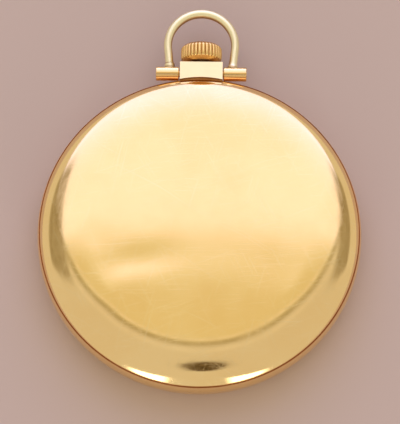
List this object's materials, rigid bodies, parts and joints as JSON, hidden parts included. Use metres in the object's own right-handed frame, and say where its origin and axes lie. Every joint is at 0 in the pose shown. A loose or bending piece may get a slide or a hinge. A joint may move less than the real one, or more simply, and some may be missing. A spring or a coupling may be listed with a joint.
{
  "type": "open face pocket watch",
  "caption": "Thin dress pocket watch with a smooth press-fit gold case back, fluted crown, stirrup bow, flat crystal, dial, hands and a wheel-train movement",
  "frame": {"origin": "centre of the crystal's flat outer face, which is the face the watch rests on", "axes": "+Z out of the case back, +Y to twelve o'clock (pendant, crown and bow), +X to the right seen from the back"},
  "size_m": [0.0452, 0.0557, 0.0087],
  "materials": {
    "case_gold": "polished yellow gold",
    "crystal_glass": "clear polished glass",
    "dial_silver": "matte silvered dial",
    "gilt_brass": "frosted gilt plates and wheels",
    "polished_steel": "polished steel",
    "blued_steel": "heat-blued steel",
    "ruby": "polished synthetic ruby",
    "spring_steel": "grey spring steel"
  },
  "bodies": {
    "case": {"mid_case": "case_gold", "bezel": "case_gold", "crystal": "crystal_glass", "pendant": "case_gold", "pendant_sleeve": "polished_steel", "bow_pins": "case_gold", "dial": "dial_silver", "hour_markers": "case_gold", "main_plate": "gilt_brass", "barrel_bridge": "gilt_brass", "train_bridge": "gilt_brass", "pallet_bridge": "gilt_brass", "balance_cock": "gilt_brass", "case_clamps": "gilt_brass", "case_screws": "blued_steel", "movement_screws": "blued_steel", "jewels": "ruby", "crown_wheel_screw": "blued_steel", "click_screw": "blued_steel", "click_spring": "spring_steel", "yoke_spring": "spring_steel", "hairspring_stud": "polished_steel"},
    "back": {"back_cover": "case_gold"},
    "bow": {"bow": "case_gold", "bow_knuckle_left": "case_gold", "bow_knuckle_right": "case_gold"},
    "winder": {"winding_pinion": "polished_steel"},
    "crown_and_stem": {"crown": "case_gold", "stem": "polished_steel"},
    "clutch": {"sliding_pinion": "polished_steel"},
    "setting_lever_body": {"setting_lever": "polished_steel"},
    "yoke_body": {"yoke": "polished_steel"},
    "crown_wheel_body": {"crown_wheel": "polished_steel"},
    "ratchet": {"ratchet_wheel": "polished_steel", "ratchet_screw": "blued_steel", "barrel_arbor": "polished_steel"},
    "click_body": {"click": "polished_steel"},
    "centre": {"centre_wheel": "gilt_brass", "cannon_pinion": "polished_steel", "minute_hand": "case_gold"},
    "barrel": {"barrel_drum": "gilt_brass", "barrel_cover": "gilt_brass", "mainspring": "spring_steel"},
    "third": {"third_wheel": "gilt_brass"},
    "fourth": {"fourth_wheel": "gilt_brass", "seconds_hand": "case_gold"},
    "escape": {"escape_wheel": "gilt_brass"},
    "minute_work": {"minute_wheel": "gilt_brass"},
    "hour": {"hour_wheel": "gilt_brass", "hour_hand": "case_gold"},
    "intermediate": {"intermediate_wheel": "polished_steel"},
    "setting": {"setting_wheel": "polished_steel"},
    "fork": {"pallet_fork": "polished_steel", "pallet_stones": "ruby"},
    "balance": {"balance_wheel": "gilt_brass", "balance_screws": "gilt_brass", "balance_staff": "polished_steel", "hairspring": "blued_steel"},
    "regulator_body": {"regulator": "polished_steel"}
  },
  "joints": [
    {"name": "back_cover_lift", "type": "slide", "parent": "case", "child": "back", "axis": [0, 0, 1], "range_m": [0, 0.014]},
    {"name": "bow_swing", "type": "hinge", "parent": "case", "child": "bow", "pos_m": [0, 0.02355, 0.00435], "axis": [1, 0, 0], "range_deg": [-90, 90]},
    {"name": "crown_turn", "type": "hinge", "parent": "case", "child": "winder", "pos_m": [0, 0, 0.00435], "axis": [0, 1, 0], "continuous": true},
    {"name": "crown_pull", "type": "slide", "parent": "winder", "child": "crown_and_stem", "axis": [0, 1, 0], "range_m": [0, 0.0009]},
    {"name": "clutch_slide", "type": "slide", "parent": "winder", "child": "clutch", "axis": [0, 1, 0], "range_m": [-0.0009, 0]},
    {"name": "setting_lever_swing", "type": "hinge", "parent": "case", "child": "setting_lever_body", "pos_m": [0.0042, 0.01635, 0.003], "axis": [0, 0, 1], "range_deg": [-12.31, 0]},
    {"name": "yoke_swing", "type": "hinge", "parent": "case", "child": "yoke_body", "pos_m": [0.0042, 0.01103, 0.003], "axis": [0, 0, 1], "range_deg": [0, 12.31]},
    {"name": "crown_wheel_turn", "type": "hinge", "parent": "case", "child": "crown_wheel_body", "pos_m": [0, 0.00939, 0.005], "axis": [0, 0, 1], "continuous": true},
    {"name": "ratchet_turn", "type": "hinge", "parent": "case", "child": "ratchet", "pos_m": [-0.00741, 0.00428, 0.005], "axis": [0, 0, 1], "continuous": true},
    {"name": "click_swing", "type": "hinge", "parent": "case", "child": "click_body", "pos_m": [-0.00804, 0.01155, 0.005], "axis": [0, 0, 1], "range_deg": [0, 10]},
    {"name": "centre_turn", "type": "hinge", "parent": "case", "child": "centre", "pos_m": [0, 0, 0.005], "axis": [0, 0, 1], "continuous": true},
    {"name": "barrel_turn", "type": "hinge", "parent": "case", "child": "barrel", "pos_m": [-0.00741, 0.00428, 0.005], "axis": [0, 0, 1], "continuous": true},
    {"name": "third_turn", "type": "hinge", "parent": "case", "child": "third", "pos_m": [0.00476, -0.00479, 0.005], "axis": [0, 0, 1], "continuous": true},
    {"name": "fourth_turn", "type": "hinge", "parent": "case", "child": "fourth", "pos_m": [0, -0.0076, 0.005], "axis": [0, 0, 1], "continuous": true},
    {"name": "escape_turn", "type": "hinge", "parent": "case", "child": "escape", "pos_m": [-0.00298, -0.01141, 0.005], "axis": [0, 0, 1], "continuous": true},
    {"name": "minute_wheel_turn", "type": "hinge", "parent": "case", "child": "minute_work", "pos_m": [0.00184, 0.00154, 0.005], "axis": [0, 0, 1], "continuous": true},
    {"name": "hour_turn", "type": "hinge", "parent": "case", "child": "hour", "pos_m": [0, 0, 0.005], "axis": [0, 0, 1], "continuous": true},
    {"name": "intermediate_turn", "type": "hinge", "parent": "case", "child": "intermediate", "pos_m": [0.00184, 0.00514, 0.005], "axis": [0, 0, 1], "continuous": true},
    {"name": "setting_wheel_turn", "type": "hinge", "parent": "case", "child": "setting", "pos_m": [0.00111, 0.0083, 0.005], "axis": [0, 0, 1], "continuous": true},
    {"name": "balance_swing", "type": "hinge", "parent": "case", "child": "balance", "pos_m": [-0.00882, -0.00804, 0.005], "axis": [0, 0, 1], "range_deg": [-140, 140]},
    {"name": "fork_swing", "type": "hinge", "parent": "case", "child": "fork", "pos_m": [-0.00588, -0.00974, 0.005], "axis": [0, 0, 1], "range_deg": [-5, 5]},
    {"name": "regulator_swing", "type": "hinge", "parent": "case", "child": "regulator_body", "pos_m": [-0.00882, -0.00804, 0.005], "axis": [0, 0, 1], "range_deg": [-15, 15]}
  ],
  "couplings": [
    {"joint": "clutch_slide", "follows": "crown_pull", "ratio": -1},
    {"joint": "setting_lever_swing", "follows": "crown_pull", "rad_per_m": -238.55},
    {"joint": "yoke_swing", "follows": "crown_pull", "rad_per_m": 238.55},
    {"joint": "crown_wheel_turn", "follows": "crown_turn", "ratio": -0.46667},
    {"joint": "ratchet_turn", "follows": "crown_turn", "ratio": 0.31111},
    {"joint": "barrel_turn", "follows": "centre_turn", "ratio": -0.125},
    {"joint": "third_turn", "follows": "centre_turn", "ratio": -8},
    {"joint": "fourth_turn", "follows": "centre_turn", "ratio": 60},
    {"joint": "escape_turn", "follows": "centre_turn", "ratio": -600},
    {"joint": "minute_wheel_turn", "follows": "centre_turn", "ratio": -0.33333},
    {"joint": "hour_turn", "follows": "centre_turn", "ratio": 0.083333},
    {"joint": "intermediate_turn", "follows": "centre_turn", "ratio": 0.33333},
    {"joint": "setting_wheel_turn", "follows": "centre_turn", "ratio": -0.41667},
    {"joint": "fork_swing", "follows": "balance_swing", "ratio": 0.035714}
  ]
}
